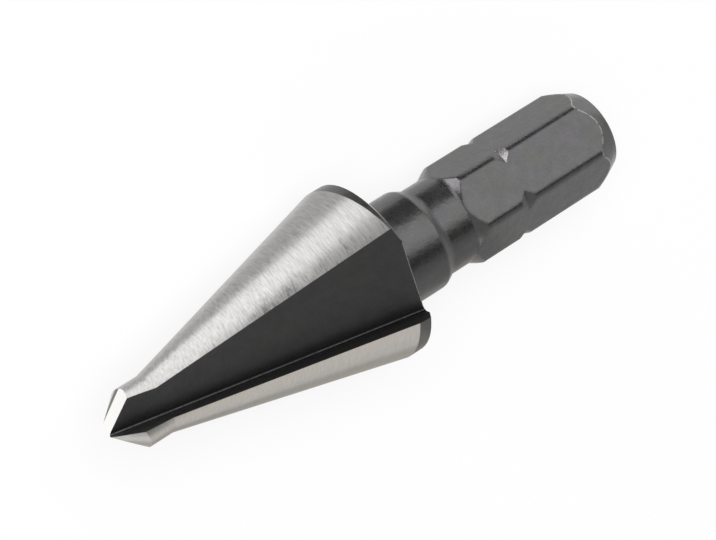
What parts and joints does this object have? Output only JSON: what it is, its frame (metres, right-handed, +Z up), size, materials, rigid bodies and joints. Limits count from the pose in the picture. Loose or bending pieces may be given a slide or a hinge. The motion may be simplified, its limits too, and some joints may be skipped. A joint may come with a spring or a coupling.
{
  "type": "countersink bit",
  "caption": "Tapered steel countersink cutter with straight flutes, a drill point and a hexagonal bit shank with a detent notch, lying on its side.",
  "frame": {"origin": "middle of the footprint, on the surface the bit lies on: centre of the lowest face of its bounding box", "axes": "+Z up; +X from the point toward the shank end; the bit's own axis lies in the XZ plane and slopes 5.4 degrees down toward the shank end, as the rim on both sides of one flute and the back end of one shank corner rest on the surface"},
  "size_m": [0.0394, 0.012, 0.0103],
  "materials": {
    "bit_steel": "black oxide on the shank, necks, rim and flutes; bright ground lands and point"
  },
  "bodies": {
    "root": {"countersink_bit": "bit_steel"}
  },
  "joints": []
}
